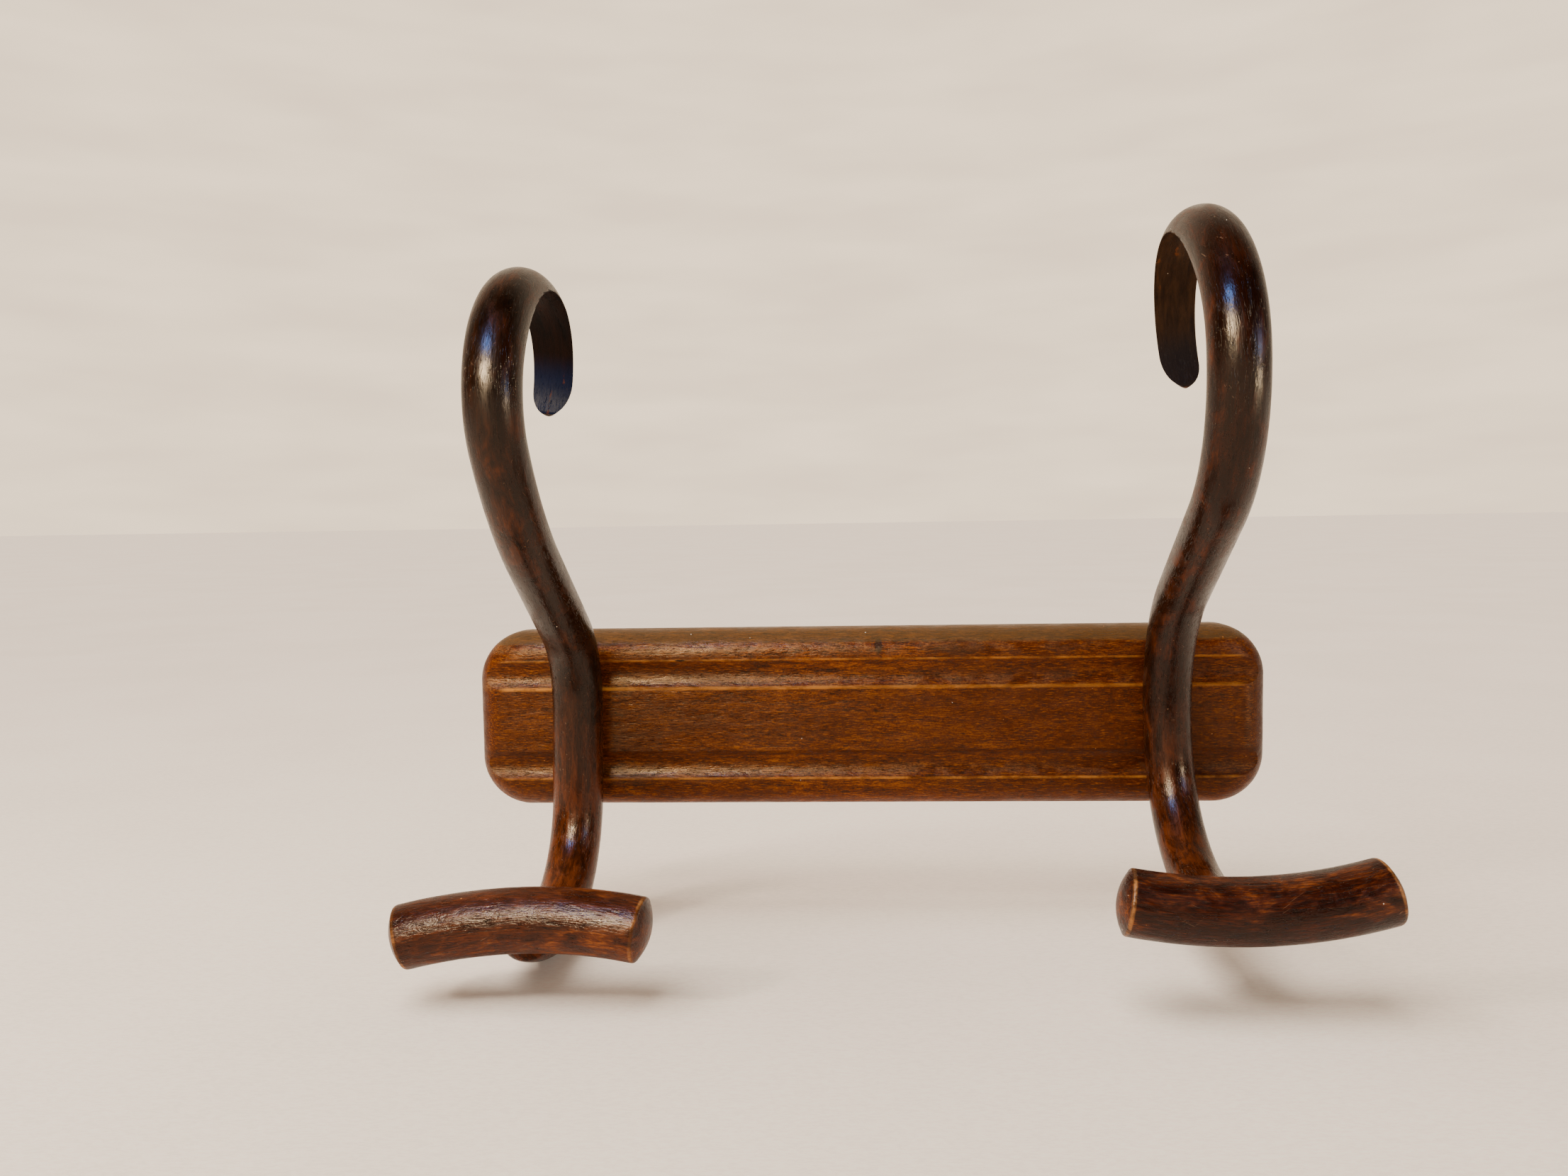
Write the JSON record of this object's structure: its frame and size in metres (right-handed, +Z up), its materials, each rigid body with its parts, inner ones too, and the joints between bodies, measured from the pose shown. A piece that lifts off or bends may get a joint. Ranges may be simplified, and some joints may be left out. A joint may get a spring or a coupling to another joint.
{
  "type": "wall coat and hat rack",
  "caption": "Bentwood wall rack: a moulded wooden board with bent round hooks that curl into hat loops above and carry turning crossbars for coats below.",
  "frame": {"origin": "centre of the board's flat back face, where it meets the wall", "axes": "+X along the board to the viewer's right, +Y into the wall, so the hooks reach out along -Y, +Z up"},
  "size_m": [0.4299, 0.1754, 0.341],
  "materials": {
    "board_wood": "satin",
    "hook_wood": "gloss",
    "crossbar_wood": "satin",
    "dowel_wood": "matte",
    "screw_steel": "satin",
    "plate_steel": "satin"
  },
  "bodies": {
    "rack": {"back_board": "board_wood", "hook_left": "hook_wood", "hook_right": "hook_wood", "dowel_left": "dowel_wood", "dowel_right": "dowel_wood", "hook_screw_left_lower": "screw_steel", "hook_screw_left_upper": "screw_steel", "hook_screw_right_lower": "screw_steel", "hook_screw_right_upper": "screw_steel", "hanger_plate_left": "plate_steel", "hanger_plate_right": "plate_steel", "plate_screw_left_lower": "screw_steel", "plate_screw_left_upper": "screw_steel", "plate_screw_right_lower": "screw_steel", "plate_screw_right_upper": "screw_steel"},
    "crossbar_left": {"crossbar_left": "crossbar_wood"},
    "crossbar_right": {"crossbar_right": "crossbar_wood"}
  },
  "joints": [
    {"name": "crossbar_left_swivel", "type": "hinge", "parent": "rack", "child": "crossbar_left", "pos_m": [-0.15847, -0.13484, -0.07022], "axis": [-0.0235, -0.8282, 0.5599], "continuous": true},
    {"name": "crossbar_right_swivel", "type": "hinge", "parent": "rack", "child": "crossbar_right", "pos_m": [0.15613, -0.14725, -0.06087], "axis": [-0.0255, -0.9063, 0.4219], "continuous": true}
  ]
}
